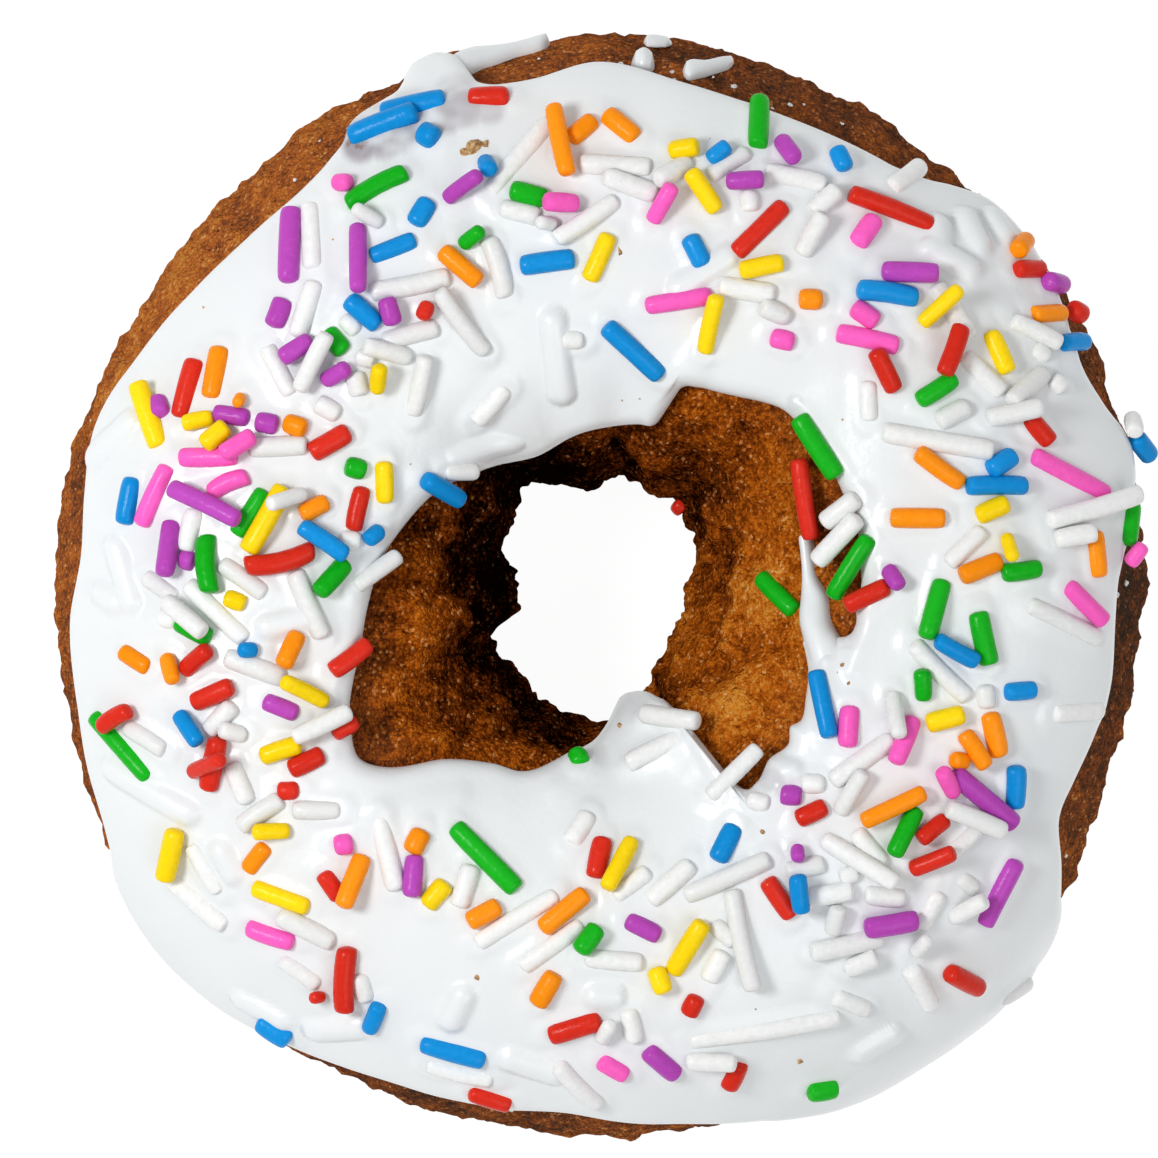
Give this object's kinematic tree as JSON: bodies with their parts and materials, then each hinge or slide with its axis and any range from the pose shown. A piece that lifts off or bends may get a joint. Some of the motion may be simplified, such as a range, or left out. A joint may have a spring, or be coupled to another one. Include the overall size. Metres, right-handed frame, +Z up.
{
  "type": "sprinkle frosted doughnut",
  "caption": "Fried ring doughnut with a smooth white icing that drips over its side and into its hole, strewn with coloured sugar sprinkles.",
  "frame": {"origin": "centre of the ring, on the level that its base rests on", "axes": "+Z up through the hole; seen from above, +X is the picture's right and +Y its top"},
  "size_m": [0.0856, 0.0864, 0.0316],
  "materials": {
    "crust": "matte",
    "icing": "gloss",
    "sprinkle_white": "satin",
    "sprinkle_red": "satin",
    "sprinkle_orange": "satin",
    "sprinkle_yellow": "satin",
    "sprinkle_green": "satin",
    "sprinkle_blue": "satin",
    "sprinkle_purple": "satin",
    "sprinkle_pink": "satin"
  },
  "bodies": {
    "root": {"cake_ring": "crust", "icing_with_sprinkles": "icing"}
  },
  "joints": []
}
